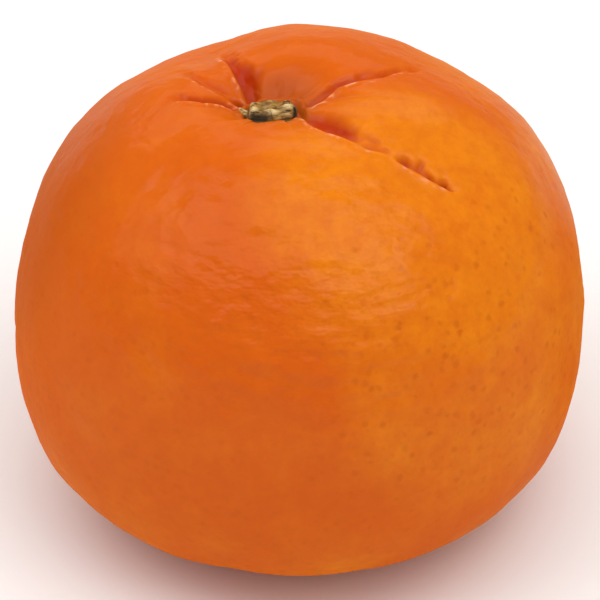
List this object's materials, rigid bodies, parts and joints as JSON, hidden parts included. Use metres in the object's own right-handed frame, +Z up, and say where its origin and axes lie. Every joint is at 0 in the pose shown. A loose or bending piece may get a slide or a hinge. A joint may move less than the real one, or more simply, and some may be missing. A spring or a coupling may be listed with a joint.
{
  "type": "mandarin",
  "caption": "Whole fresh mandarin, a squat round citrus fruit with deep furrows running out of its sunken neck and a dry woody button where the stem was cut.",
  "frame": {"origin": "The middle of the fruit's outline seen from above, on the level that its resting spot stands on.", "axes": "+Z is up, from the resting spot to the neck, and is the shortest extent. +X and +Y are across the fruit; the picture looks along +Y, with +X to the right."},
  "size_m": [0.0696, 0.0706, 0.0567],
  "materials": {
    "peel": "fresh waxy citrus peel, softly glossy, with fine oil glands",
    "woody_button": "dry, matt and cracked, khaki with dark brown cracks"
  },
  "bodies": {
    "root": {"fruit": "peel", "stem_button": "woody_button"}
  },
  "joints": []
}
